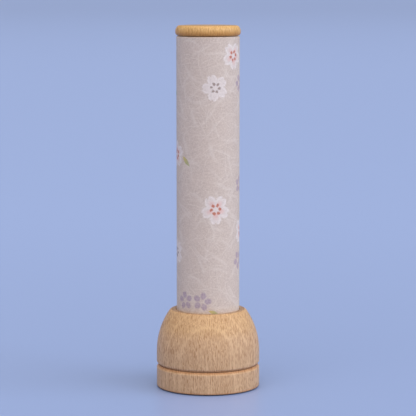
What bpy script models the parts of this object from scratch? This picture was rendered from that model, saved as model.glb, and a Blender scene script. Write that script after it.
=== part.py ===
"""Needle case: a paper-covered tube standing in a turned beech base, closed by a beech cap.

The tube of rolled board, papered inside and out, is glued into the socket of a bell-shaped
turning. The bell is hollow underneath and pushes onto the spigot of the foot, so that the
groove above the foot is the parting line of a second, flat store. The cap's spigot pushes
into the tube's mouth. The case lifts off the foot, and the cap lifts off the case.

Origin: centre of the standing face. +Z up along the axis of the tube. Metres.
"""

import math

import bpy

MM = 0.001
SEGMENTS = 72  # facets round every turned piece; touching walls share their facet angles

# Driving dimensions
FOOT_RADIUS = 20.5 * MM
TUBE_RADIUS = 12.48 * MM  # over the paper
SHOULDER_HEIGHT = 31.3 * MM  # top of the bell
SEAT_HEIGHT = 140.0 * MM  # underside of the cap's head
TOTAL_HEIGHT = 144.0 * MM
PARTING_HEIGHT = 9.1 * MM  # top face of the foot, at the root of the groove
PARTING_GAP = 0.2 * MM
JOINT_GAP = 0.1 * MM  # between glued or resting pieces

# Foot and its pad
PAD_RADIUS = 18.5 * MM
PAD_THICKNESS = 1.2 * MM
PAD_PROUD = 0.4 * MM  # the pad lifts the wood this far off the table
PAD_CLEARANCE = 0.3 * MM
FOOT_EASE = 0.4 * MM
GROOVE_DEPTH = 0.6 * MM
GROOVE_FALL = 1.0 * MM  # height of the groove's lower flank
SPIGOT_HEIGHT = 4.0 * MM
SPIGOT_CLEARANCE = 0.2 * MM
STORE_RADIUS = 12.2 * MM  # hollow turned into the foot
STORE_FLOOR = 4.2 * MM
STORE_FILLET = 1.5 * MM

# Bell
BELL_CHAMBER_RADIUS = 14.8 * MM
BELL_CHAMBER_TOP = 18.6 * MM
BELL_ARC_RADIUS = 28.6 * MM
BELL_ARC_START = 14.4 * MM  # the side is straight below this height
BELL_CORNER_RADIUS = 1.6 * MM
BELL_LOWER_CHAMFER = 0.5 * MM
SOCKET_RADIUS = TUBE_RADIUS + 0.22 * MM
SOCKET_FLOOR = 21.0 * MM
MOUTH_EASE = 0.3 * MM

# Tube, from the paper inwards
PAPER_THICKNESS = 0.12 * MM
PAPER_LAP_ANGLE = 20.0  # degrees that the sheet's end covers its beginning, at the back
PAPER_LAP_GAP = 0.03 * MM
PAPER_RISE_ANGLE = 30.0  # degrees over which the sheet climbs onto its own beginning
CORE_WALL = 1.4 * MM
CORE_CLEARANCE = 0.08 * MM
LINER_THICKNESS = 0.15 * MM
LINER_SETBACK = 0.7 * MM  # the lining stops this far below the rim
RIM_HEIGHT = SEAT_HEIGHT - JOINT_GAP
CUSHION_THICKNESS = 2.5 * MM
CUSHION_EASE = 0.4 * MM

# Cap
CAP_RADIUS = 12.9 * MM
CAP_WIDEST = 1.5 * MM  # above the seat
CAP_UPPER_REACH = 1.7 * MM  # how far the upper rounding runs in from the widest radius
CAP_LOWER_REACH = 1.0 * MM
CAP_SPIGOT_LENGTH = 10.9 * MM
CAP_SPIGOT_CLEARANCE = 0.2 * MM
CAP_SPIGOT_CHAMFER = 0.5 * MM

# Radii that follow from the tube's layers
CORE_OUTER = TUBE_RADIUS - PAPER_THICKNESS - CORE_CLEARANCE
CORE_INNER = CORE_OUTER - CORE_WALL
LINER_OUTER = CORE_INNER - CORE_CLEARANCE
LINER_INNER = LINER_OUTER - LINER_THICKNESS
CUSHION_RADIUS = LINER_INNER - JOINT_GAP
CAP_SPIGOT_RADIUS = LINER_INNER - CAP_SPIGOT_CLEARANCE
FOOT_SPIGOT_RADIUS = BELL_CHAMBER_RADIUS - SPIGOT_CLEARANCE
TUBE_BOTTOM = SOCKET_FLOOR + JOINT_GAP

BEECH = ("beech", (0.58, 0.38, 0.23), 0.45)
CAP_BEECH = ("cap_beech", (0.68, 0.44, 0.23), 0.40)
WASHI = ("washi_paper", (0.52, 0.43, 0.43), 0.60)
BOARD = ("grey_board", (0.42, 0.36, 0.29), 0.85)
LINING = ("lining_paper", (0.78, 0.74, 0.66), 0.80)
FELT = ("wool_felt", (0.55, 0.50, 0.42), 0.95)
PAD_FELT = ("pad_felt", (0.10, 0.08, 0.07), 0.95)


def clear_scene():
    for old in list(bpy.data.objects):
        bpy.data.objects.remove(old, do_unlink=True)


def make_material(name, colour, roughness):
    material = bpy.data.materials.get(name) or bpy.data.materials.new(name)
    material.use_nodes = True
    shader = material.node_tree.nodes["Principled BSDF"]
    shader.inputs["Base Color"].default_value = (*colour, 1.0)
    shader.inputs["Roughness"].default_value = roughness
    shader.inputs["Metallic"].default_value = 0.0
    return material


def new_group(collection, name, height, parent=None):
    """An empty on the tube's axis. height is in the part's own frame."""
    empty = bpy.data.objects.new(name, None)
    empty.empty_display_size = 10 * MM
    collection.objects.link(empty)
    empty.parent = parent
    empty.location.z = height - (parent.location.z if parent else 0.0)
    return empty


def arc(centre, reach, start, end, steps):
    """Points (radius, height) on an ellipse's arc, angles in degrees from the outward direction."""
    angles = [math.radians(start + (end - start) * i / steps) for i in range(steps + 1)]
    return [(centre[0] + reach[0] * math.cos(a), centre[1] + reach[1] * math.sin(a)) for a in angles]


def turned(collection, group, group_height, name, outline, finish, ring=False):
    """A lathe-turned piece from (radius, height) points that run down its outer side."""
    mesh = bpy.data.meshes.new(name)
    points = [(radius, 0.0, height - group_height) for radius, height in outline]
    count = len(points)
    edges = [(i, (i + 1) % count) for i in range(count if ring else count - 1)]
    mesh.from_pydata(points, edges, [])
    mesh.materials.append(make_material(*finish))
    piece = bpy.data.objects.new(name, mesh)
    collection.objects.link(piece)
    piece.parent = group
    screw = piece.modifiers.new("turn", "SCREW")
    screw.angle = math.tau
    screw.steps = screw.render_steps = SEGMENTS
    screw.use_merge_vertices = True
    screw.merge_threshold = 0.00001
    screw.use_smooth_shade = True
    return piece


def foot_pad_outline():
    return [(0, PAD_THICKNESS), (PAD_RADIUS, PAD_THICKNESS), (PAD_RADIUS, 0), (0, 0)]


def foot_outline():
    """Shallow cup with a raised spigot round it, a chamfered top edge and a pad recess below."""
    spigot_top = PARTING_HEIGHT + SPIGOT_HEIGHT
    recess_radius = PAD_RADIUS + PAD_CLEARANCE
    recess_top = PAD_THICKNESS + JOINT_GAP
    fillet_centre = (STORE_RADIUS - STORE_FILLET, STORE_FLOOR + STORE_FILLET)
    return [
        (0, STORE_FLOOR),
        *arc(fillet_centre, (STORE_FILLET, STORE_FILLET), -90, 0, 3),
        (STORE_RADIUS, spigot_top - MOUTH_EASE),
        (STORE_RADIUS + MOUTH_EASE, spigot_top),
        (FOOT_SPIGOT_RADIUS - MOUTH_EASE, spigot_top),
        (FOOT_SPIGOT_RADIUS, spigot_top - MOUTH_EASE),
        (FOOT_SPIGOT_RADIUS, PARTING_HEIGHT),
        (FOOT_RADIUS - GROOVE_DEPTH, PARTING_HEIGHT),
        (FOOT_RADIUS, PARTING_HEIGHT - GROOVE_FALL),
        (FOOT_RADIUS, PAD_PROUD + FOOT_EASE),
        (FOOT_RADIUS - FOOT_EASE, PAD_PROUD),
        (recess_radius, PAD_PROUD),
        (recess_radius, recess_top),
        (0, recess_top),
    ]


def bell_side():
    """The bell's shoulder corner and flank: two arcs that meet in a common tangent."""
    flank_centre = (FOOT_RADIUS - BELL_ARC_RADIUS, BELL_ARC_START)
    corner_height = SHOULDER_HEIGHT - BELL_CORNER_RADIUS
    rise = corner_height - flank_centre[1]
    reach = math.sqrt((BELL_ARC_RADIUS - BELL_CORNER_RADIUS) ** 2 - rise**2)
    corner_centre = (flank_centre[0] + reach, corner_height)
    tangent = math.degrees(math.atan2(rise, reach))
    corner = arc(corner_centre, (BELL_CORNER_RADIUS, BELL_CORNER_RADIUS), 90, tangent, 4)
    flank = arc(flank_centre, (BELL_ARC_RADIUS, BELL_ARC_RADIUS), tangent, 0, 10)
    return corner + flank[1:]


def bell_outline():
    bottom = PARTING_HEIGHT + PARTING_GAP
    return [
        (0, SOCKET_FLOOR),
        (SOCKET_RADIUS, SOCKET_FLOOR),
        (SOCKET_RADIUS, SHOULDER_HEIGHT - MOUTH_EASE),
        (SOCKET_RADIUS + MOUTH_EASE, SHOULDER_HEIGHT),
        *bell_side(),
        (FOOT_RADIUS, bottom + BELL_LOWER_CHAMFER),
        (FOOT_RADIUS - BELL_LOWER_CHAMFER, bottom),
        (BELL_CHAMBER_RADIUS + MOUTH_EASE, bottom),
        (BELL_CHAMBER_RADIUS, bottom + MOUTH_EASE),
        (BELL_CHAMBER_RADIUS, BELL_CHAMBER_TOP),
        (0, BELL_CHAMBER_TOP),
    ]


def ring_outline(outer, inner, bottom, top):
    return [(outer, top), (outer, bottom), (inner, bottom), (inner, top)]


def cushion_outline():
    top = TUBE_BOTTOM + CUSHION_THICKNESS
    return [
        (0, top),
        (CUSHION_RADIUS - CUSHION_EASE, top),
        (CUSHION_RADIUS, top - CUSHION_EASE),
        (CUSHION_RADIUS, TUBE_BOTTOM),
        (0, TUBE_BOTTOM),
    ]


def cap_outline():
    """Round-edged head over a plain spigot."""
    widest = SEAT_HEIGHT + CAP_WIDEST
    upper_centre = (CAP_RADIUS - CAP_UPPER_REACH, widest)
    lower_centre = (CAP_RADIUS - CAP_LOWER_REACH, widest)
    spigot_end = SEAT_HEIGHT - CAP_SPIGOT_LENGTH
    return [
        (0, TOTAL_HEIGHT),
        *arc(upper_centre, (CAP_UPPER_REACH, TOTAL_HEIGHT - widest), 90, 0, 6),
        *arc(lower_centre, (CAP_LOWER_REACH, CAP_WIDEST), 0, -90, 4)[1:],
        (CAP_SPIGOT_RADIUS, SEAT_HEIGHT),
        (CAP_SPIGOT_RADIUS, spigot_end + CAP_SPIGOT_CHAMFER),
        (CAP_SPIGOT_RADIUS - CAP_SPIGOT_CHAMFER, spigot_end),
        (0, spigot_end),
    ]


def sheet_radius(turned_angle):
    """Inner radius of the wrapped sheet, turned_angle degrees from its beginning."""
    lap_rise = PAPER_THICKNESS + PAPER_LAP_GAP
    climb = (turned_angle - (360.0 - PAPER_RISE_ANGLE)) / PAPER_RISE_ANGLE
    climb = min(max(climb, 0.0), 1.0)
    return TUBE_RADIUS - PAPER_THICKNESS + lap_rise * climb * climb * (3 - 2 * climb)


def paper_wrap(collection, group, group_height, name, bottom, top, finish):
    """The decorated sheet, wound once round the core with its end lapped over its beginning."""
    step = 360.0 / SEGMENTS
    turns = [step * i for i in range(SEGMENTS + round(PAPER_LAP_ANGLE / step) + 1)]
    outer = [(sheet_radius(t) + PAPER_THICKNESS, math.radians(90 + t)) for t in turns]
    inner = [(sheet_radius(t), math.radians(90 + t)) for t in turns]
    loop = outer + inner[::-1]
    curve = bpy.data.curves.new(name, "CURVE")
    curve.dimensions = "2D"
    curve.fill_mode = "BOTH"
    curve.extrude = (top - bottom) / 2
    spline = curve.splines.new("POLY")
    spline.points.add(len(loop) - 1)
    for point, (radius, angle) in zip(spline.points, loop):
        point.co = (radius * math.cos(angle), radius * math.sin(angle), 0, 1)
    spline.use_cyclic_u = True
    curve.materials.append(make_material(*finish))
    piece = bpy.data.objects.new(name, curve)
    collection.objects.link(piece)
    piece.parent = group
    piece.location.z = (top + bottom) / 2 - group_height
    return piece


def build():
    clear_scene()
    parts = bpy.data.collections.new("needle_case")
    bpy.context.scene.collection.children.link(parts)

    case_height = PARTING_HEIGHT
    case = new_group(parts, "case_slide", case_height)
    cap_group = new_group(parts, "cap_slide", SEAT_HEIGHT, parent=case)

    turned(parts, None, 0.0, "foot_pad", foot_pad_outline(), PAD_FELT)
    turned(parts, None, 0.0, "foot", foot_outline(), BEECH)

    core = ring_outline(CORE_OUTER, CORE_INNER, TUBE_BOTTOM, RIM_HEIGHT)
    liner = ring_outline(LINER_OUTER, LINER_INNER, TUBE_BOTTOM, RIM_HEIGHT - LINER_SETBACK)
    turned(parts, case, case_height, "bell", bell_outline(), BEECH)
    turned(parts, case, case_height, "tube_core", core, BOARD, ring=True)
    turned(parts, case, case_height, "tube_liner", liner, LINING, ring=True)
    turned(parts, case, case_height, "needle_cushion", cushion_outline(), FELT)
    paper_wrap(parts, case, case_height, "washi_wrap", TUBE_BOTTOM, RIM_HEIGHT, WASHI)

    turned(parts, cap_group, SEAT_HEIGHT, "cap", cap_outline(), CAP_BEECH)


build()
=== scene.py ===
"""The looks of the needle case: washi-covered tube, turned beech bell, foot and cap.

Every piece is turned or wound again with a fine mesh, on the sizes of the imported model, and
takes a procedural material whose patterns are written in millimetres of the row frame.
Lengths are in millimetres up to the point where a mesh is made, unless a name says otherwise.
"""

import math

import bpy
from mathutils import Matrix, Vector, noise


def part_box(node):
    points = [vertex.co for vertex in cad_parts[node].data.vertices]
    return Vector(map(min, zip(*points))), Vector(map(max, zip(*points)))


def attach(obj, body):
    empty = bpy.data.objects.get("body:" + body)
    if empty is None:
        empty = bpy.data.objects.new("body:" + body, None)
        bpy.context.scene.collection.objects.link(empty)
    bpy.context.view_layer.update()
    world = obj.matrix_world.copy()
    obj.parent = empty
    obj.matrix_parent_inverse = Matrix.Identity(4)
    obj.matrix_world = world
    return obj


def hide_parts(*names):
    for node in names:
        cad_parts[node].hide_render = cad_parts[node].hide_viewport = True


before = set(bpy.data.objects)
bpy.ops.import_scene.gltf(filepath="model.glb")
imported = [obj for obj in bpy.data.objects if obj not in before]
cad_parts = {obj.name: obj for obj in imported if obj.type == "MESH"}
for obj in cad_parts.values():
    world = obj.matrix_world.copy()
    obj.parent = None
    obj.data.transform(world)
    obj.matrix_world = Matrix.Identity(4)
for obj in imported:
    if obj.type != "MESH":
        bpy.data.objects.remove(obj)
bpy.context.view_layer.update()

MM = 0.001
SEGMENTS = 192  # columns round a turned piece
EASING_STEPS = 5  # points along each rounded corner
SHARP_ANGLE = 40.0  # degrees between faces, past which an edge is shaded sharp


# ---------------------------------------------------------------- sizes read from the frame


def cad_span(node):
    """(radius, lowest, highest) of a CAD node, in millimetres."""
    low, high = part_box(node)
    return (high.x - low.x) / 2 / MM, low.z / MM, high.z / MM


FOOT_RADIUS, FOOT_BOTTOM, SPIGOT_TOP = cad_span("foot")
BELL_RADIUS, BELL_BOTTOM, SHOULDER = cad_span("bell")
PAD_RADIUS, PAD_BOTTOM, PAD_TOP = cad_span("foot_pad")
PAPER_RADIUS, TUBE_BOTTOM, RIM = cad_span("washi_wrap")
CORE_RADIUS, _, CORE_TOP = cad_span("tube_core")
LINER_RADIUS, _, LINER_TOP = cad_span("tube_liner")
CUSHION_RADIUS, CUSHION_BOTTOM, CUSHION_TOP = cad_span("needle_cushion")
CAP_RADIUS, CAP_SPIGOT_END, CAP_TOP = cad_span("cap")

# Sizes inside those boxes, within 0.05 mm of the CAD model's
PARTING = 9.1  # top face of the foot
SEAT = 140.0  # underside of the cap's head
STORE_RADIUS = 12.2
STORE_FLOOR = 4.2
STORE_FILLET = 1.5
PAD_CLEARANCE = 0.3
PAD_HEADROOM = 0.1
FOOT_SPIGOT_RADIUS = 14.6
CHAMBER_RADIUS = 14.8
CHAMBER_TOP = 18.6
SOCKET_RADIUS = 12.66
SOCKET_FLOOR = 21.0
BELL_ARC_RADIUS = 28.6
BELL_ARC_START = 14.4
BELL_CORNER = 1.6
CAP_WIDEST = 1.5  # above the seat
CAP_UPPER_REACH = 1.7  # how far the upper rounding runs in from the widest radius
CAP_LOWER_REACH = 1.0
CAP_SPIGOT_RADIUS = 10.45
CORE_INNER = 10.9

# The groove between foot and bell, a little deeper and wider than the CAD model's
GROOVE_DEPTH = 0.8
GROOVE_FALL = 1.1  # from the foot's top face down its flank
GROOVE_RISE = 0.9  # from the bell's bottom face up its flank

# Paper and board end below the CAD model's rim, so that the paper can fold over the board
CORE_DROP = 0.35
LINER_DROP = 1.0
LINER_SETBACK = 0.06  # from the CAD lining's outside
LINER = 0.14  # thickness

HUB = 0.1  # radius of the small ring of points round each centre point


# ---------------------------------------------------------------- outlines and meshes


def arc(centre, reach, start, end, steps):
    """Points (radius, height) on an ellipse's arc, angles in degrees from the outward direction."""
    angles = [math.radians(start + (end - start) * i / steps) for i in range(steps + 1)]
    return [(centre[0] + reach[0] * math.cos(a), centre[1] + reach[1] * math.sin(a)) for a in angles]


def eased(corners):
    """Outline through (radius, height, easing) corners, each rounded by an arc of its easing."""
    outline = []
    for i, (radius, height, easing) in enumerate(corners):
        here = Vector((radius, height))
        if easing == 0:
            outline.append(tuple(here))
            continue
        before = (Vector(corners[i - 1][:2]) - here).normalized()
        after = (Vector(corners[(i + 1) % len(corners)][:2]) - here).normalized()
        half = before.angle(after) / 2
        centre = here + (before + after).normalized() * easing / math.sin(half)
        first = here + before * easing / math.tan(half) - centre
        turn = first.angle_signed(here + after * easing / math.tan(half) - centre)
        for k in range(EASING_STEPS + 1):
            spoke = Matrix.Rotation(-turn * k / EASING_STEPS, 2) @ first
            outline.append(tuple(centre + spoke))
    return outline


def finished(name, vertices, faces):
    """An object from vertices in millimetres, shaded smooth except across its sharp edges."""
    mesh = bpy.data.meshes.new(name)
    mesh.from_pydata([Vector(v) * MM for v in vertices], [], faces)
    mesh.validate()
    mesh.shade_smooth()
    mesh.set_sharp_from_angle(angle=math.radians(SHARP_ANGLE))
    piece = bpy.data.objects.new(name, mesh)
    bpy.context.scene.collection.objects.link(piece)
    return piece


def turned(name, outline, ring=False, texture=None):
    """A lathe-turned piece. The (radius, height) outline runs down its outside; ring closes it."""
    vertices, starts = [], []
    for radius, height in outline:
        starts.append(len(vertices))
        for k in range(SEGMENTS if radius > 0 else 1):
            angle = math.tau * k / SEGMENTS
            point = Vector((radius * math.cos(angle), radius * math.sin(angle), height))
            vertices.append(point + texture(point) if texture else point)
    faces = []
    count = len(outline)
    for i in range(count if ring else count - 1):
        upper, lower = i, (i + 1) % count
        for k in range(SEGMENTS):
            following = (k + 1) % SEGMENTS
            corners = [
                starts[lower] + (k if outline[lower][0] > 0 else 0),
                starts[lower] + (following if outline[lower][0] > 0 else 0),
                starts[upper] + (following if outline[upper][0] > 0 else 0),
                starts[upper] + (k if outline[upper][0] > 0 else 0),
            ]
            faces.append(tuple(dict.fromkeys(corners)))
    return finished(name, vertices, faces)


# ---------------------------------------------------------------- shader nodes


class Shader:
    """A new material's node tree, with a short method for each kind of node used below."""

    def __init__(self, name):
        self.material = bpy.data.materials.new(name)
        self.material.use_nodes = True
        self.tree = self.material.node_tree
        self.surface = self.tree.nodes["Principled BSDF"]

    def connect(self, value, socket):
        if isinstance(value, bpy.types.NodeSocket):
            self.tree.links.new(value, socket)
        elif socket.type == "RGBA":
            socket.default_value = (*value, 1.0)
        else:
            socket.default_value = value

    def node(self, kind, inputs, **settings):
        made = self.tree.nodes.new("ShaderNode" + kind)
        for name, value in settings.items():
            setattr(made, name, value)
        for key, value in inputs.items():
            self.connect(value, made.inputs[key])
        return made

    def math(self, operation, a, b=0.0, c=0.0):
        return self.node("Math", {0: a, 1: b, 2: c}, operation=operation).outputs[0]

    def product(self, first, *others):
        result = first
        for other in others:
            result = self.math("MULTIPLY", result, other)
        return result

    def vector(self, operation, a, b):
        return self.node("VectorMath", {0: a, 1: b}, operation=operation).outputs[0]

    def length(self, a):
        return self.node("VectorMath", {0: a}, operation="LENGTH").outputs["Value"]

    def scaled(self, a, amount):
        return self.vector("MULTIPLY", a, amount)

    def rotated(self, a, axis, degrees):
        inputs = {0: a, "Angle": math.radians(degrees)}
        return self.node("VectorRotate", inputs, rotation_type=axis + "_AXIS").outputs[0]

    def split(self, a):
        return self.node("SeparateXYZ", {0: a}).outputs

    def joined(self, x, y, z=0.0):
        return self.node("CombineXYZ", {0: x, 1: y, 2: z}).outputs[0]

    def in_mm(self):
        """The point on the piece, in millimetres of the row frame at rest."""
        return self.scaled(self.node("TexCoord", {}).outputs["Object"], (1000, 1000, 1000))

    def noise(self, where, detail=2.0, roughness=0.5, output="Fac"):
        inputs = {"Vector": where, "Scale": 1.0, "Detail": detail, "Roughness": roughness}
        return self.node("TexNoise", inputs).outputs[output]

    def cells(self, where, dimensions="3D"):
        inputs = {"Vector": where, "Scale": 1.0}
        return self.node("TexVoronoi", inputs, voronoi_dimensions=dimensions).outputs

    def warped(self, where, size, amount, detail=2.0):
        """where, pushed about by up to amount millimetres in waves of about size millimetres."""
        push = self.noise(self.scaled(where, (1 / size,) * 3), detail=detail, output="Color")
        push = self.scaled(self.vector("SUBTRACT", push, (0.5, 0.5, 0.5)), (2 * amount,) * 3)
        return self.vector("ADD", where, push)

    def ease(self, value, low, high, start=0.0, end=1.0):
        """Smooth step of value from start at low to end at high."""
        inputs = {"Value": value, "From Min": low, "From Max": high, "To Min": start, "To Max": end}
        return self.node("MapRange", inputs, interpolation_type="SMOOTHSTEP").outputs[0]

    def mix(self, factor, a, b, blend="MIX"):
        made = self.node("Mix", {}, data_type="RGBA", blend_type=blend)
        for socket, value in zip((made.inputs[0], made.inputs[6], made.inputs[7]), (factor, a, b)):
            self.connect(value, socket)
        return made.outputs[2]

    def hypotenuse(self, a, b):
        squares = self.math("ADD", self.math("MULTIPLY", a, a), self.math("MULTIPLY", b, b))
        return self.math("SQRT", squares)

    def bump(self, height, depth):
        """Relief of depth millimetres where height goes from 0 to 1."""
        return self.node("Bump", {"Height": height, "Distance": depth * MM}).outputs[0]


# ---------------------------------------------------------------- beech

# Colours are pale wood, dark wood and fleck. The shift is where a piece lies in the solid pattern.
BASE_WOOD = ((0.674, 0.433, 0.251), (0.509, 0.307, 0.169), (0.286, 0.113, 0.030))
BASE_SHIFT = (7.3, 2.95, 40.0)
CAP_WOOD = ((0.747, 0.452, 0.182), (0.583, 0.320, 0.100), (0.300, 0.105, 0.022))
CAP_SHIFT = (31.0, 5.0, 11.0)

# Painted shade and light along a level: colour, height, distance of the full tint, distance where it
# ends. The groove, foot edge and cap edge tints are painted shade, and the shoulder tint is a painted
# warm light.
# Painted shade in the groove between foot and bell
GROOVE_SHADE_TINT = ((0.95, 0.79, 0.65), PARTING, 0.3, 1.0)
# Painted shade along the foot's lower edge, next to the floor
FOOT_EDGE_SHADE_TINT = ((0.90, 0.77, 0.71), FOOT_BOTTOM, 0.35, 0.9)
# Painted warm light: less blue towards the bell's shoulder
SHOULDER_WARM_LIGHT_TINT = ((1.0, 0.98, 0.89), SHOULDER, 5.5, 10.5)
# Painted shade on the cap's lower rounding, where it meets the tube
CAP_EDGE_SHADE_TINT = ((0.84, 0.66, 0.46), SEAT, 0.4, 2.8)

# Darker end grain on the level faces, made bluer as a painted reflection of the blue backdrop
END_GRAIN_AND_REFLECTION_TINT = (0.74, 0.75, 0.84)
RING_WIDTH = 4.6
RING_BEND = 900.0  # a ring is the parabola y = -x * x / RING_BEND, so the pith is far in front
RING_CLIMB = 0.05  # drift of the rings along Y with height, in the drawn-out pattern
GRAIN_LEAN = 1.2  # degrees

# Rays: the pattern's cell, then half the width and half the length of the plate in it
LONG_RAYS = ((0.95, 6.0, 3.0), 0.145, 1.2)
SHORT_RAYS = ((0.7, 4.0, 2.1), 0.115, 0.8)
PORE_SPACING = (0.18, 0.18, 1.2)


def dashes(s, place, spacing, low, high):
    """Dashes of a solid pattern, about as long and as far apart as spacing says, in millimetres."""
    swell = s.noise(s.scaled(place, tuple(1 / gap for gap in spacing)), detail=1.0)
    return s.ease(swell, low, high)


def spindles(s, place, cell, half_width, half_length):
    """Spindle-shaped plates along Y, one in each cell of a stretched pattern."""
    spots = s.scaled(place, tuple(1 / size for size in cell))
    found = s.cells(spots)
    x, _, z = s.split(s.scaled(s.vector("SUBTRACT", spots, found["Position"]), cell))
    size, strength, _ = s.split(found["Color"])
    reach = s.math("DIVIDE", z, s.ease(size, 0.0, 1.0, 0.6 * half_length, 1.3 * half_length))
    away = s.length(s.joined(s.math("DIVIDE", x, half_width), reach))
    body = s.ease(away, 0.45, 1.1, 1.0, 0.0)
    return s.math("MULTIPLY", body, s.ease(strength, 0.0, 0.7, 0.35, 1.0))


def growth_rings(s, place):
    """(early wood, late wood) of the growth rings, which are pale at their start."""
    drawn_out = s.scaled(place, (1, 1, 0.35))
    x, y, z = s.split(s.warped(drawn_out, 17.0, 0.5))
    across = s.math("MULTIPLY_ADD", s.math("MULTIPLY", x, x), 1 / RING_BEND, y)
    level = s.math("MULTIPLY_ADD", z, RING_CLIMB, across)
    rings = s.math("FRACT", s.math("DIVIDE", level, RING_WIDTH))
    early = s.math("MULTIPLY", s.ease(rings, 0.0, 0.05), s.ease(rings, 0.09, 0.22, 1.0, 0.0))
    late = s.math("MULTIPLY", s.ease(rings, 0.30, 0.95), s.ease(rings, 0.96, 1.0, 1.0, 0.0))
    return early, late


def tinted(s, colour, height, tints):
    """The colour, multiplied by each tint near that tint's own height."""
    for tint, level, full, end in tints:
        away = s.math("ABSOLUTE", s.math("SUBTRACT", height, level))
        colour = s.mix(s.ease(away, full, end, 1.0, 0.0), colour, tint, "MULTIPLY")
    return colour


def beech(name, colours, shift, tints, roughness=0.45, figure=1.0):
    """Beech with its grain along Z and its growth rings across Y, in one solid pattern.

    The rays are thin plates along Y: short dark dashes on the front and back, broader flakes
    on the two sides, and fine lines on the end grain. figure is how strongly they show.
    """
    s = Shader(name)
    pale, dark, fleck = colours
    rest = s.in_mm()
    place = s.vector("ADD", s.rotated(rest, "Y", GRAIN_LEAN), shift)
    early_wood, late_wood = growth_rings(s, place)

    # Fibres, drawn out along the grain
    grain = s.warped(place, 8.0, 0.1)
    streaks = s.noise(s.scaled(grain, (2.3, 2.3, 0.15)), detail=1.0, roughness=0.6)
    cloud = s.noise(s.scaled(place, (0.16, 0.16, 0.05)))
    pore = dashes(s, grain, PORE_SPACING, 0.54, 0.66)

    # Rays in two sizes
    long_ray = spindles(s, grain, *LONG_RAYS)
    short_ray = spindles(s, s.vector("ADD", grain, (5.3, 2.1, 7.7)), *SHORT_RAYS)
    strong = s.math("MULTIPLY", long_ray, 0.74 * figure)
    faint = s.math("MULTIPLY", short_ray, 0.5 * figure)

    colour = s.mix(s.ease(streaks, 0.26, 0.74), dark, pale)
    colour = s.mix(s.math("MULTIPLY", late_wood, 0.30), colour, dark)
    colour = s.mix(s.ease(cloud, 0.35, 0.7, 0.0, 0.12), colour, dark)
    colour = s.mix(s.math("MULTIPLY", pore, 0.22 * figure), colour, fleck)
    colour = s.mix(s.math("MAXIMUM", strong, faint), colour, fleck)
    colour = s.mix(s.math("MULTIPLY", early_wood, 0.40), colour, pale)
    # Level faces: darker end grain, and a painted reflection of the blue backdrop
    end_grain_and_reflection = s.math("ABSOLUTE", s.split(s.node("TexCoord", {}).outputs["Normal"])[2])
    colour = s.mix(s.ease(end_grain_and_reflection, 0.90, 0.995), colour, END_GRAIN_AND_REFLECTION_TINT, "MULTIPLY")
    # Painted shade and light near the given heights
    colour = tinted(s, colour, s.split(rest)[2], tints)

    hollows = s.math("ADD", s.math("MULTIPLY", pore, -0.8), s.math("MULTIPLY", long_ray, -0.5))
    relief = s.math("MULTIPLY_ADD", streaks, 0.7, hollows)
    shine = s.ease(streaks, 0.2, 0.8, roughness + 0.06, roughness - 0.04)
    s.connect(colour, s.surface.inputs["Base Color"])
    s.connect(s.math("MULTIPLY_ADD", long_ray, -0.06, shine), s.surface.inputs["Roughness"])
    s.connect(s.bump(relief, 0.012), s.surface.inputs["Normal"])
    s.surface.inputs["Specular IOR Level"].default_value = 0.25
    return s.material


# ---------------------------------------------------------------- washi

SHEET_MAP = "sheet"  # millimetres round the tube and up it
PRINT_MAP = "print"  # place inside the nearest printed motif, 1 at its edge
KIND = "printed_kind"
GREY_HEART, RED_HEART, LAVENDER, LEAF = range(1, 5)
LEAF_SLENDERNESS = 3.0

GROUND_DARK = (0.517, 0.395, 0.328)
GROUND_PALE = (0.569, 0.441, 0.366)
SPECKLE = (0.655, 0.534, 0.447)
BROAD_FIBRE = (0.727, 0.621, 0.542)
FINE_FIBRE = (0.789, 0.683, 0.597)
PETAL_SHADE = (0.718, 0.613, 0.565)
PETAL_WHITE = (0.814, 0.710, 0.656)
BLUSH = (0.754, 0.391, 0.344)
GREY_INK = (0.289, 0.200, 0.158)
RED_INK = (0.474, 0.123, 0.057)
LAVENDER_DARK = (0.356, 0.250, 0.301)
LAVENDER_PALE = (0.427, 0.312, 0.349)
LEAF_YELLOW = (0.526, 0.408, 0.118)
LEAF_GREEN = (0.359, 0.346, 0.136)

# Ovals in a motif of radius 1: distance of the centre, half the length, half the width
PETAL = (0.63, 0.40, 0.395)
LOOSE_PETAL = (0.62, 0.40, 0.35)
STAMEN = (0.30, 0.145, 0.125)

# Layers of fibres: angle in degrees, length, spacing, thickness, shift
FINE_LAYERS = [
    (4, 13, 3.4, 0.17, (3, 7, 0)),
    (35, 12, 3.8, 0.15, (5, 13, 0)),
    (66, 14, 3.6, 0.18, (17, 5, 0)),
    (101, 13, 4.0, 0.15, (2, 19, 0)),
    (133, 12, 3.7, 0.17, (8, 23, 0)),
    (163, 14, 3.9, 0.16, (9, 1, 0)),
]
BROAD_LAYERS = [
    (22, 13, 6.5, 0.66, (21, 4, 0)),
    (74, 12, 7.5, 0.56, (6, 31, 0)),
    (128, 13, 7.0, 0.60, (13, 9, 0)),
]

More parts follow.
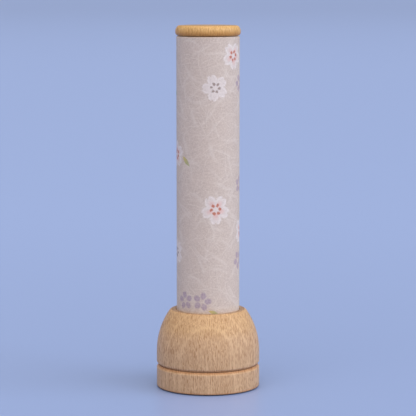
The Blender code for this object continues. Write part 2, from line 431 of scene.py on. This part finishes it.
# Printed motifs: kind, millimetres to the right of the front, height, radius, turn in degrees
MOTIFS = [
    (RED_HEART, 11.4, 132.3, 5.4, 42.0),
    (GREY_HEART, 2.9, 120.1, 5.3, 22.0),
    (LAVENDER, 16.5, 121.6, 3.5, 20.0),
    (RED_HEART, -16.6, 93.6, 5.4, 7.0),
    (LEAF, -9.5, 91.2, 2.85, -46.0),
    (LAVENDER, 16.6, 81.6, 3.5, -10.0),
    (RED_HEART, 3.1, 72.5, 5.9, 36.0),
    (RED_HEART, 18.9, 62.9, 5.8, 54.0),
    (GREY_HEART, -17.0, 54.8, 5.2, 18.0),
    (LAVENDER, 15.6, 51.6, 3.8, 30.0),
    (LAVENDER, -10.0, 36.0, 3.7, 8.0),
    (LAVENDER, -2.4, 36.0, 3.8, -14.0),
    (LEAF, 2.2, 31.7, 2.2, -19.0),
    (RED_HEART, 25.5, 104.0, 5.4, -20.0),
    (LEAF, 31.5, 99.8, 2.6, -40.0),
    (GREY_HEART, 33.5, 126.5, 5.2, 40.0),
    (LAVENDER, 34.0, 84.0, 3.5, 5.0),
    (LAVENDER, 38.5, 77.5, 3.4, 42.0),
    (RED_HEART, 33.0, 50.0, 5.4, 15.0),
    (LEAF, 26.5, 46.0, 2.6, 62.0),
    (GREY_HEART, 25.0, 30.0, 5.2, -5.0),
    (RED_HEART, -24.5, 122.0, 5.4, -12.0),
    (LEAF, -18.6, 118.0, 2.6, -30.0),
    (LAVENDER, -33.5, 108.0, 3.5, 16.0),
    (LAVENDER, -27.0, 103.5, 3.4, -24.0),
    (GREY_HEART, -32.0, 84.5, 5.3, 18.0),
    (RED_HEART, -30.0, 61.0, 5.4, -32.0),
    (LEAF, -35.6, 55.6, 2.6, 48.0),
    (GREY_HEART, -27.5, 34.0, 5.2, 50.0),
]


def place_in(motif, around, height):
    """A point of the sheet as the motif sees it: turned with it, and 1 at its edge."""
    _, centre, level, radius, turn = motif
    offset = Vector((around - centre, height - level)) / radius
    return Matrix.Rotation(math.radians(-turn), 2) @ offset


def nearest_motif(around, height):
    """The motif whose edge is nearest to a point of the sheet."""

    def reach(motif):
        place = place_in(motif, around, height)
        if motif[0] == LEAF:
            place.y *= LEAF_SLENDERNESS
        return place.length

    return min(MOTIFS, key=reach)


def petals(s, local, count):
    """(along a petal's axis, across it), for count petals round the middle of a motif."""
    across, up, _ = s.split(local)
    wedge = math.tau / count
    turned_in = s.math("ADD", s.math("ARCTAN2", across, up), wedge / 2)
    turned_in = s.math("SUBTRACT", s.math("FLOORED_MODULO", turned_in, wedge), wedge / 2)
    reach = s.hypotenuse(across, up)
    along = s.math("MULTIPLY", reach, s.math("COSINE", turned_in))
    return along, s.math("MULTIPLY", reach, s.math("SINE", turned_in))


def oval(s, along, across, centre, half_length, half_width):
    """0 at the centre of an oval and 1 on its outline."""
    first = s.math("DIVIDE", s.math("SUBTRACT", along, centre), half_length)
    return s.hypotenuse(first, s.math("DIVIDE", across, half_width))


def fibres(s, sheet, angle, length, spacing, thickness, shift):
    """One layer of pale fibres: a bent line through each cell of a stretched, curled pattern."""
    turned_sheet = s.vector("ADD", s.rotated(sheet, "Z", angle), shift)
    curled = s.warped(turned_sheet, 9.0, 2.6, 0.5)
    spots = s.scaled(curled, (1 / length, 1 / spacing, 0))
    found = s.cells(spots, "2D")
    inside = s.vector("SUBTRACT", spots, found["Position"])
    along, across, _ = s.split(s.scaled(inside, (length, spacing, 0)))
    bend, lean, width = s.split(s.vector("SUBTRACT", found["Color"], (0.5, 0.5, 0.0)))
    curve = s.math("MULTIPLY", s.math("MULTIPLY", along, along), s.math("MULTIPLY", bend, 1.2 / length))
    slope = s.math("MULTIPLY", along, s.math("MULTIPLY", lean, 0.6))
    line = s.math("ADD", curve, slope)
    away = s.math("ABSOLUTE", s.math("SUBTRACT", across, line))
    half_width = s.math("MULTIPLY_ADD", width, 0.7 * thickness, 0.6 * thickness)
    body = s.ease(s.math("DIVIDE", away, half_width), 0.2, 1.4, 1.0, 0.0)
    ends = s.ease(s.math("ABSOLUTE", along), length * 0.15, length * 0.5, 1.0, 0.0)
    strength = s.ease(width, 0.1, 0.6, 0.3, 1.0)
    return s.math("MULTIPLY", body, s.math("MULTIPLY", ends, strength))


def paper_ground(s, sheet, mottle, speckle):
    """(colour, fine fibres) of the unprinted sheet: broad faint fibres under fine pale ones."""
    colour = s.mix(s.ease(mottle, 0.3, 0.7), GROUND_DARK, GROUND_PALE)
    colour = s.mix(s.ease(speckle, 0.36, 0.66, 0.0, 0.88), colour, SPECKLE)
    broad, fine = 0.0, 0.0
    for layer in BROAD_LAYERS:
        broad = s.math("MAXIMUM", broad, fibres(s, sheet, *layer))
    for layer in FINE_LAYERS:
        fine = s.math("MAXIMUM", fine, fibres(s, sheet, *layer))
    colour = s.mix(s.math("MULTIPLY", broad, 0.32), colour, BROAD_FIBRE)
    colour = s.mix(s.math("MULTIPLY", fine, 0.24), colour, FINE_FIBRE)
    return colour, fine


def of_kind(s, *kinds):
    """1 where the nearest motif is of one of the kinds, and 0 elsewhere."""
    nearest = s.node("Attribute", {}, attribute_name=KIND).outputs["Fac"]
    chosen = 0.0
    for kind in kinds:
        chosen = s.math("ADD", chosen, s.math("COMPARE", nearest, float(kind), 0.1))
    return chosen


def five_petals(s, local):
    """(along a petal, aside from its axis, veins along it), for the motifs with five petals."""
    along, aside = petals(s, local, 5)
    aside = s.math("ABSOLUTE", aside)
    veins = s.noise(s.joined(s.math("MULTIPLY", aside, 9.0), s.math("MULTIPLY", along, 1.6)))
    return along, aside, veins


def blossoms(s, colour, local, flower, speckle):
    """Cherry blossom: five broad white petals, each with a notch in its tip, and six stamens."""
    along, aside, veins = flower
    printed = of_kind(s, GREY_HEART, RED_HEART)
    petal = oval(s, along, aside, *PETAL)
    notch = s.math("SUBTRACT", s.math("MULTIPLY_ADD", aside, 1.2, 0.86), along)
    shape = s.math("MULTIPLY", s.ease(petal, 0.82, 1.08, 1.0, 0.0), s.ease(notch, -0.05, 0.06))
    shape = s.math("MAXIMUM", shape, s.ease(s.length(local), 0.40, 0.50, 1.0, 0.0))
    edge = s.ease(petal, 0.45, 0.85, 0.74, 1.0)
    cover = s.ease(speckle, 0.35, 0.62, 0.74, 0.94)

    # Blush: a pink flare along the inner half of each petal, round a red heart only
    blush = s.product(
        s.ease(along, 0.36, 0.82, 1.0, 0.0),
        s.ease(aside, 0.04, 0.25, 1.0, 0.0),
        s.ease(s.length(local), 0.10, 0.32),
        s.ease(veins, 0.30, 0.62, 0.55, 1.0),
        of_kind(s, RED_HEART),
        0.85,
    )
    white = s.mix(s.ease(veins, 0.35, 0.7), PETAL_SHADE, PETAL_WHITE)
    white = s.mix(blush, white, BLUSH)
    colour = s.mix(s.product(shape, edge, printed, cover), colour, white)

    stamen = s.ease(oval(s, *petals(s, local, 6), *STAMEN), 0.5, 1.1, 1.0, 0.0)
    ink = s.mix(of_kind(s, RED_HEART), GREY_INK, RED_INK)
    return s.mix(s.product(stamen, printed, 0.85), colour, ink)


def lavender_flowers(s, colour, flower, speckle):
    """Small flowers of five loose petals, unevenly printed and streaked along the petals."""
    along, aside, veins = flower
    petal = s.ease(oval(s, along, aside, *LOOSE_PETAL), 0.62, 1.12, 1.0, 0.0)
    cover = s.ease(speckle, 0.35, 0.65, 1.0, 0.62)
    lavender = s.mix(s.ease(veins, 0.35, 0.65), LAVENDER_DARK, LAVENDER_PALE)
    return s.mix(s.product(petal, of_kind(s, LAVENDER), cover, 0.95), colour, lavender)


def leaves(s, colour, local):
    """Leaves: pointed ovals, yellow at one end and green at the other."""
    along, up, _ = s.split(local)
    aside = s.math("MULTIPLY", s.math("ABSOLUTE", up), LEAF_SLENDERNESS)
    pointed = s.math("ADD", s.math("MULTIPLY", along, along), aside)
    leaf = s.math("MULTIPLY", s.ease(pointed, 0.82, 1.0, 1.0, 0.0), of_kind(s, LEAF))
    green = s.mix(s.ease(along, -0.7, 0.5), LEAF_YELLOW, LEAF_GREEN)
    return s.mix(s.math("MULTIPLY", leaf, s.ease(along, 0.1, 0.9, 0.85, 0.6)), colour, green)


def washi():
    """Warm grey washi with pale fibres, printed with blossom, small flowers and leaves."""
    s = Shader("washi_paper")
    sheet = s.scaled(s.node("UVMap", {}, uv_map=SHEET_MAP).outputs[0], (1, 1, 0))
    mottle = s.noise(s.scaled(sheet, (0.22, 0.22, 0)), detail=4.0, roughness=0.6)
    speckle = s.noise(s.scaled(sheet, (1.5, 1.5, 0)), detail=4.0, roughness=0.75)
    colour, fine = paper_ground(s, sheet, mottle, speckle)

    # The place inside the nearest motif, pushed about a little for an uneven printed edge
    wobble = s.noise(s.scaled(sheet, (1.2, 1.2, 0)), detail=3.0, roughness=0.65, output="Color")
    wobble = s.scaled(s.vector("SUBTRACT", wobble, (0.5, 0.5, 0.5)), (0.24, 0.24, 0))
    local = s.vector("ADD", s.node("UVMap", {}, uv_map=PRINT_MAP).outputs[0], wobble)
    flower = five_petals(s, local)
    colour = blossoms(s, colour, local, flower, speckle)
    colour = lavender_flowers(s, colour, flower, speckle)
    colour = leaves(s, colour, local)

    relief = s.math("MULTIPLY_ADD", fine, 0.8, s.math("MULTIPLY", speckle, 0.5))
    s.connect(colour, s.surface.inputs["Base Color"])
    s.connect(s.ease(mottle, 0.3, 0.7, 0.62, 0.7), s.surface.inputs["Roughness"])
    s.connect(s.bump(relief, 0.03), s.surface.inputs["Normal"])
    s.surface.inputs["Specular IOR Level"].default_value = 0.35
    return s.material


# ---------------------------------------------------------------- the hidden papers and felts

# Pale, dark and fibre
BOARD_COLOURS = ((0.46, 0.39, 0.31), (0.36, 0.30, 0.23), (0.55, 0.48, 0.39))
LINING_COLOURS = ((0.80, 0.76, 0.68), (0.74, 0.70, 0.61), (0.86, 0.83, 0.77))

# Pale and dark
WOOL_COLOURS = ((0.62, 0.57, 0.48), (0.45, 0.40, 0.33))
PAD_COLOURS = ((0.12, 0.095, 0.085), (0.06, 0.045, 0.04))


def plain_paper(name, colours):
    """Unprinted paper or board: mottled, with short fibres lying in it two ways."""
    s = Shader(name)
    pale, dark, fibre = colours
    place = s.in_mm()
    x, y, z = s.split(place)
    sheet = s.joined(s.math("MULTIPLY", s.math("ARCTAN2", y, x), CORE_RADIUS), z)
    mottle = s.noise(s.scaled(place, (0.5, 0.5, 0.5)), detail=4.0, roughness=0.65)
    colour = s.mix(s.ease(mottle, 0.3, 0.7), dark, pale)
    rising = fibres(s, sheet, 30, 5.0, 1.6, 0.15, (2, 3, 0))
    falling = fibres(s, sheet, 115, 6.0, 1.9, 0.15, (5, 1, 0))
    strands = s.math("MAXIMUM", rising, falling)
    colour = s.mix(s.math("MULTIPLY", strands, 0.35), colour, fibre)
    tooth = s.noise(s.scaled(place, (5.0, 5.0, 5.0)), detail=3.0)
    s.connect(colour, s.surface.inputs["Base Color"])
    s.connect(s.ease(mottle, 0.3, 0.7, 0.78, 0.88), s.surface.inputs["Roughness"])
    s.connect(s.bump(tooth, 0.03), s.surface.inputs["Normal"])
    return s.material


def felt(name, colours):
    """Pressed wool felt: tangled short fibres over a soft uneven ground."""
    s = Shader(name)
    pale, dark = colours
    place = s.in_mm()
    tangle = s.noise(s.scaled(s.warped(place, 0.8, 0.5), (2.6, 2.6, 2.6)), detail=5.0, roughness=0.7)
    hairs = s.cells(s.scaled(s.warped(place, 0.9, 0.7), (1.1, 5.0, 3.0)))
    hair = s.ease(hairs["Distance"], 0.1, 0.4, 1.0, 0.0)
    colour = s.mix(s.ease(tangle, 0.3, 0.7), dark, pale)
    colour = s.mix(s.math("MULTIPLY", hair, 0.3), colour, pale)
    s.connect(colour, s.surface.inputs["Base Color"])
    s.connect(s.bump(s.math("ADD", tangle, hair), 0.12), s.surface.inputs["Normal"])
    s.surface.inputs["Roughness"].default_value = 0.95
    s.surface.inputs["Sheen Weight"].default_value = 0.3
    s.surface.inputs["Sheen Roughness"].default_value = 0.6
    return s.material


# ---------------------------------------------------------------- the pieces


def make_foot(material):
    """A disc with a spigot, hollowed on top as a shallow cup and underneath for the pad."""
    recess_radius = PAD_RADIUS + PAD_CLEARANCE
    recess_top = PAD_TOP + PAD_HEADROOM
    outline = [(0, STORE_FLOOR)] + eased([
        (HUB, STORE_FLOOR, 0),
        (STORE_RADIUS, STORE_FLOOR, STORE_FILLET),
        (STORE_RADIUS, SPIGOT_TOP, 0.3),
        (FOOT_SPIGOT_RADIUS, SPIGOT_TOP, 0.35),
        (FOOT_SPIGOT_RADIUS, PARTING, 0.15),
        (FOOT_RADIUS - GROOVE_DEPTH, PARTING, 0.05),
        (FOOT_RADIUS, PARTING - GROOVE_FALL, 0.25),
        (FOOT_RADIUS, FOOT_BOTTOM, 0.4),
        (recess_radius, FOOT_BOTTOM, 0.15),
        (recess_radius, recess_top, 0.1),
        (HUB, recess_top, 0),
    ]) + [(0, recess_top)]
    piece = turned("turned_foot", outline)
    piece.data.materials.append(material)
    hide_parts("foot")
    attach(piece, "foot")


def bell_side():
    """Shoulder corner and flank: two arcs that meet in a common tangent."""
    flank_centre = (BELL_RADIUS - BELL_ARC_RADIUS, BELL_ARC_START)
    corner_height = SHOULDER - BELL_CORNER
    rise = corner_height - flank_centre[1]
    reach = math.sqrt((BELL_ARC_RADIUS - BELL_CORNER) ** 2 - rise**2)
    tangent = math.degrees(math.atan2(rise, reach))
    corner = arc((flank_centre[0] + reach, corner_height), (BELL_CORNER,) * 2, 90, tangent, 10)
    return corner + arc(flank_centre, (BELL_ARC_RADIUS,) * 2, tangent, 0, 28)[1:]


def make_bell(material):
    """The bell, with a socket for the tube on top and a chamber for the foot's spigot underneath."""
    inner = eased([
        (HUB, SOCKET_FLOOR, 0),
        (SOCKET_RADIUS, SOCKET_FLOOR, 0.2),
        (SOCKET_RADIUS, SHOULDER, 0.15),
        (SOCKET_RADIUS + 1.0, SHOULDER, 0),
    ])
    outer = eased([
        (BELL_RADIUS, BELL_ARC_START - 1.0, 0),
        (BELL_RADIUS, BELL_BOTTOM + GROOVE_RISE, 0.25),
        (BELL_RADIUS - GROOVE_DEPTH, BELL_BOTTOM, 0.05),
        (CHAMBER_RADIUS, BELL_BOTTOM, 0.25),
        (CHAMBER_RADIUS, CHAMBER_TOP, 0.8),
        (HUB, CHAMBER_TOP, 0),
    ])
    outline = [(0, SOCKET_FLOOR)] + inner + bell_side() + outer + [(0, CHAMBER_TOP)]
    piece = turned("turned_bell", outline)
    piece.data.materials.append(material)
    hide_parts("bell")
    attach(piece, "case")


def make_cap(material):
    """Head with two quarter ellipses for its rounded edge, over a plain spigot."""
    widest = SEAT + CAP_WIDEST
    upper_reach = (CAP_UPPER_REACH, CAP_TOP - widest)
    lower_reach = (CAP_LOWER_REACH, CAP_WIDEST)
    head = [(0, CAP_TOP)]
    head += arc((CAP_RADIUS - CAP_UPPER_REACH, widest), upper_reach, 90, 0, 14)
    head += arc((CAP_RADIUS - CAP_LOWER_REACH, widest), lower_reach, 0, -90, 10)[1:]
    spigot = eased([
        (CAP_SPIGOT_RADIUS + 0.6, SEAT, 0),
        (CAP_SPIGOT_RADIUS, SEAT, 0.1),
        (CAP_SPIGOT_RADIUS, CAP_SPIGOT_END, 0.5),
        (HUB, CAP_SPIGOT_END, 0),
    ])
    piece = turned("turned_cap", head + spigot + [(0, CAP_SPIGOT_END)])
    piece.data.materials.append(material)
    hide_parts("cap")
    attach(piece, "cap")


def tube_outline(outer, inner, top):
    return [(outer, top), (outer, TUBE_BOTTOM), (inner, TUBE_BOTTOM), (inner, top)]


def make_core(material):
    outline = tube_outline(CORE_RADIUS, CORE_INNER, CORE_TOP - CORE_DROP)
    piece = turned("board_tube", outline, ring=True)
    piece.data.materials.append(material)
    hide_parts("tube_core")
    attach(piece, "case")


def make_liner(material):
    outer = LINER_RADIUS - LINER_SETBACK
    outline = tube_outline(outer, outer - LINER, LINER_TOP - LINER_DROP)
    piece = turned("lining_paper", outline, ring=True)
    piece.data.materials.append(material)
    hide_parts("tube_liner")
    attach(piece, "case")


FELT_RINGS = 14
FELT_EDGE = 0.4  # radius of the rounded upper edge
FELT_CHAMFER = 0.25  # height of the slanted lower edge
FELT_BUMP = 0.05
NOISE_SHIFTS = [Vector((shift, 2.3 * shift, -1.7 * shift)) for shift in (0.5, 31.3, 77.9)]


def uneven(point):
    """A smooth push in any direction. Each of its three parts is the same noise, read elsewhere."""
    return Vector([noise.noise(point + shift) for shift in NOISE_SHIFTS])


def felt_bump(point):
    """A small push in any direction, which makes a cut felt disc uneven."""
    return uneven(point * 1.7) * FELT_BUMP + uneven(point * 4.1) * FELT_BUMP * 0.5


def make_felt(name, node, body, material, size, flat_bottom):
    radius, bottom, top = size
    steps = [radius * i / FELT_RINGS for i in range(1, FELT_RINGS + 1)]
    upper = [(step, top) for step in steps[:-1]]
    edge = arc((radius - FELT_EDGE, top - FELT_EDGE), (FELT_EDGE, FELT_EDGE), 90, 0, 4)
    lower = [(step, bottom) for step in reversed(steps)]
    outline = [(0, top)] + upper + edge + [(radius, bottom + FELT_CHAMFER)] + lower + [(0, bottom)]

    def texture(point):
        return felt_bump(point) * (0 if flat_bottom and point.z <= bottom else 1)

    piece = turned(name, outline, texture=texture)
    piece.data.materials.append(material)
    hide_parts(node)
    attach(piece, body)


PAPER = 0.12  # thickness
LAP_DEGREES = 20.0
LAP_RISE = 0.15  # how far the lapped end stands over its beginning
CLIMB_DEGREES = 30.0
RIM_DROP = 0.12  # paper's top below the CAD rim, which leaves room for the lap under the cap
FOLD = 0.5  # radius of the sheet's bend from the outside to the rim
INNER_FOLD = 0.4  # radius of its bend from the rim to the inside
FOLD_STEPS = 6
TUCK_ROWS = 4  # rows of the sheet that go straight down inside
TUCK_ROW_HEIGHT = 0.8
COLUMN_DEGREES = 360.0 / SEGMENTS
ROW_HEIGHT = 1.2


def paper_path():
    """(radius, height, facing) along the sheet's outer face, up the tube, over its rim and down inside.

    Facing is where the face looks there: 0 degrees is outwards, 90 is up and 180 is inwards.
    """
    top = RIM - RIM_DROP
    inside = CORE_INNER - PAPER
    straight = top - FOLD - TUBE_BOTTOM
    rows = round(straight / ROW_HEIGHT)
    outer = arc((PAPER_RADIUS - FOLD, top - FOLD), (FOLD, FOLD), 0, 90, FOLD_STEPS)
    inner = arc((inside + INNER_FOLD, top - INNER_FOLD), (INNER_FOLD, INNER_FOLD), 90, 180, FOLD_STEPS)
    turns = [90 * i / FOLD_STEPS for i in range(FOLD_STEPS + 1)]
    path = [(PAPER_RADIUS, TUBE_BOTTOM + straight * i / rows, 0) for i in range(rows)]
    path += [(*point, turn) for point, turn in zip(outer, turns)]
    path += [(*point, 90 + turn) for point, turn in zip(inner, turns)]
    path += [(inside, top - INNER_FOLD - TUCK_ROW_HEIGHT * i, 180) for i in range(1, TUCK_ROWS + 1)]
    return path


def lap_height(turn):
    """How far the sheet stands off the tube, turn degrees from its beginning."""
    climb = min(max((turn - (360.0 - CLIMB_DEGREES)) / CLIMB_DEGREES, 0.0), 1.0)
    return LAP_RISE * climb * climb * (3 - 2 * climb)


def sheet_faces(columns, rows):
    """Faces of a thick sheet: layer 0 is its outer face, and layer 1 its inner face."""

    def at(c, r, layer=0):
        return (layer * columns + c) * rows + r

    faces = []
    last = rows - 1
    for c in range(columns - 1):
        for r in range(rows - 1):
            faces.append((at(c, r), at(c + 1, r), at(c + 1, r + 1), at(c, r + 1)))
            faces.append((at(c, r + 1, 1), at(c + 1, r + 1, 1), at(c + 1, r, 1), at(c, r, 1)))
        faces.append((at(c, 0, 1), at(c + 1, 0, 1), at(c + 1, 0), at(c, 0)))
        faces.append((at(c, last), at(c + 1, last), at(c + 1, last, 1), at(c, last, 1)))
    last = columns - 1
    for r in range(rows - 1):
        faces.append((at(0, r, 1), at(0, r), at(0, r + 1), at(0, r + 1, 1)))
        faces.append((at(last, r), at(last, r, 1), at(last, r + 1, 1), at(last, r + 1)))
    return faces


def make_wrap(material):
    """The printed sheet, wound once round the tube from the back, its end lapped over its beginning."""
    path = paper_path()
    columns = SEGMENTS + round(LAP_DEGREES / COLUMN_DEGREES) + 1
    travelled = [0.0]
    for (r0, z0, _), (r1, z1, _) in zip(path, path[1:]):
        travelled.append(travelled[-1] + math.hypot(r1 - r0, z1 - z0))
    vertices, places = [], []
    for depth in (0.0, PAPER):
        for c in range(columns):
            turn = COLUMN_DEGREES * c
            angle = math.radians(90 + turn)
            lift = lap_height(turn) - depth
            for (radius, height, facing), distance in zip(path, travelled):
                reach = radius + lift * math.cos(math.radians(facing))
                rise = height + lift * math.sin(math.radians(facing))
                vertices.append((reach * math.cos(angle), reach * math.sin(angle), rise))
                places.append((math.radians(turn - 180) * PAPER_RADIUS, TUBE_BOTTOM + distance))
    piece = finished("washi_sheet", vertices, sheet_faces(columns, len(path)))
    print_sheet(piece.data, places)
    piece.data.materials.append(material)
    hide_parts("washi_wrap")
    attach(piece, "case")


def print_sheet(mesh, places):
    """Gives each corner its place on the sheet, and its place inside the motif nearest to its face."""
    sheet = mesh.uv_layers.new(name=SHEET_MAP)
    printed = mesh.uv_layers.new(name=PRINT_MAP)
    kinds = mesh.attributes.new(KIND, "FLOAT", "FACE")
    for face in mesh.polygons:
        corners = [places[v] for v in face.vertices]
        around = sum(c[0] for c in corners) / len(corners)
        height = sum(c[1] for c in corners) / len(corners)
        motif = nearest_motif(around, height)
        kinds.data[face.index].value = motif[0]
        for loop, corner in zip(face.loop_indices, corners):
            sheet.data[loop].uv = corner
            printed.data[loop].uv = place_in(motif, *corner)


# ---------------------------------------------------------------- stage, light and camera

# Distances here are in metres, and angles in degrees
FLOOR_BLUE = (0.295, 0.384, 0.652)
FLOOR_RADIUS = 40.0
HORIZON_BLUE = (0.30, 0.39, 0.65)
OVERHEAD_GREY = (0.30, 0.30, 0.30)

# Azimuth 0 is in front of the object, and 90 is to its right
SUNS = [  # name, azimuth, elevation, spread, strength, colour
    ("key", 75, 25, 50, 1.54, (0.93, 1.0, 1.075)),
    ("left", -50, 40, 80, 0.32, (1.03, 1.0, 0.97)),
    ("front", 0, 50, 80, 1.72, (1.04, 1.0, 0.94)),
    ("top", 170, 75, 60, 0.86, (0.98, 1.0, 1.04)),
]

CAMERA_PLACE = (0.0, -0.756, 0.1634)
CAMERA_DIP = 6.915  # below level
FOCAL_LENGTH = 165.9  # in millimetres, on a sensor 36 mm wide
SENSOR_WIDTH = 36.0


def make_stage():
    """A wide blue floor, a little brighter in a ring round the object than close by or far off: a
    painted shadow close round the object, and painted shade far off where the light would fall off.
    """
    s = Shader("backdrop_paper")
    distance = s.length(s.node("TexCoord", {}).outputs["Object"])
    # Painted shadow: darker close round the object
    near = s.ease(distance, 0.0, 0.6, 0.92, 1.0)
    # Painted shade: darker far off, as the light would fall off
    far = s.ease(distance, 1.2, 9.0, 1.0, 0.82)
    shade = s.math("MULTIPLY", near, far)
    colour = s.mix(1.0, FLOOR_BLUE, s.joined(shade, shade, shade), "MULTIPLY")
    s.connect(colour, s.surface.inputs["Base Color"])
    s.surface.inputs["Roughness"].default_value = 0.35
    s.surface.inputs["Specular IOR Level"].default_value = 0.4
    bpy.ops.mesh.primitive_circle_add(vertices=96, radius=FLOOR_RADIUS, fill_type="NGON")
    floor = bpy.context.object
    floor.name = "floor"
    floor.data.materials.append(s.material)


def soft_sun(name, azimuth, elevation, spread, strength, colour):
    """A wide even light."""
    data = bpy.data.lights.new(name, "SUN")
    data.angle = math.radians(spread)
    data.energy = strength
    data.color = colour
    light = bpy.data.objects.new(name, data)
    bpy.context.scene.collection.objects.link(light)
    light.rotation_euler = (math.radians(90 - elevation), 0, math.radians(azimuth))


def make_world():
    """An even glow: the backdrop's blue along the horizon, and grey from a little above it up."""
    world = bpy.data.worlds.new("room")
    bpy.context.scene.world = world
    world.use_nodes = True
    tree = world.node_tree
    direction = tree.nodes.new("ShaderNodeTexCoord").outputs["Generated"]
    parts = tree.nodes.new("ShaderNodeSeparateXYZ")
    climb = tree.nodes.new("ShaderNodeMapRange")
    blend = tree.nodes.new("ShaderNodeMix")
    climb.interpolation_type = "SMOOTHSTEP"
    climb.inputs["From Min"].default_value = 0.02
    climb.inputs["From Max"].default_value = 0.35
    blend.data_type = "RGBA"
    blend.inputs[6].default_value = (*HORIZON_BLUE, 1.0)
    blend.inputs[7].default_value = (*OVERHEAD_GREY, 1.0)
    tree.links.new(direction, parts.inputs[0])
    tree.links.new(parts.outputs["Z"], climb.inputs["Value"])
    tree.links.new(climb.outputs[0], blend.inputs[0])
    tree.links.new(blend.outputs[2], tree.nodes["Background"].inputs["Color"])


def make_lights():
    for sun in SUNS:
        soft_sun(*sun)
    make_world()


def make_camera():
    data = bpy.data.cameras.new("camera")
    data.sensor_width = SENSOR_WIDTH
    data.lens = FOCAL_LENGTH
    data.clip_end = 2.5 * FLOOR_RADIUS
    camera = bpy.data.objects.new("camera", data)
    bpy.context.scene.collection.objects.link(camera)
    camera.location = CAMERA_PLACE
    camera.rotation_euler = (math.radians(90 - CAMERA_DIP), 0, 0)
    bpy.context.scene.camera = camera
    bpy.context.scene.view_settings.view_transform = "Standard"


def main():
    make_camera()
    make_stage()
    make_lights()
    base_beech = beech("beech", BASE_WOOD, BASE_SHIFT, [GROOVE_SHADE_TINT, FOOT_EDGE_SHADE_TINT, SHOULDER_WARM_LIGHT_TINT])
    cap_beech = beech("cap_beech", CAP_WOOD, CAP_SHIFT, [CAP_EDGE_SHADE_TINT], roughness=0.40, figure=0.75)
    make_foot(base_beech)
    make_bell(base_beech)
    make_cap(cap_beech)
    make_core(plain_paper("tube_board", BOARD_COLOURS))
    make_liner(plain_paper("lining_paper", LINING_COLOURS))
    make_wrap(washi())
    wool = felt("wool_felt", WOOL_COLOURS)
    cushion = (CUSHION_RADIUS, CUSHION_BOTTOM, CUSHION_TOP)
    make_felt("felt_cushion", "needle_cushion", "case", wool, cushion, flat_bottom=False)
    dark_felt = felt("pad_felt", PAD_COLOURS)
    pad = (PAD_RADIUS, PAD_BOTTOM, PAD_TOP)
    make_felt("felt_pad", "foot_pad", "foot", dark_felt, pad, flat_bottom=True)


main()
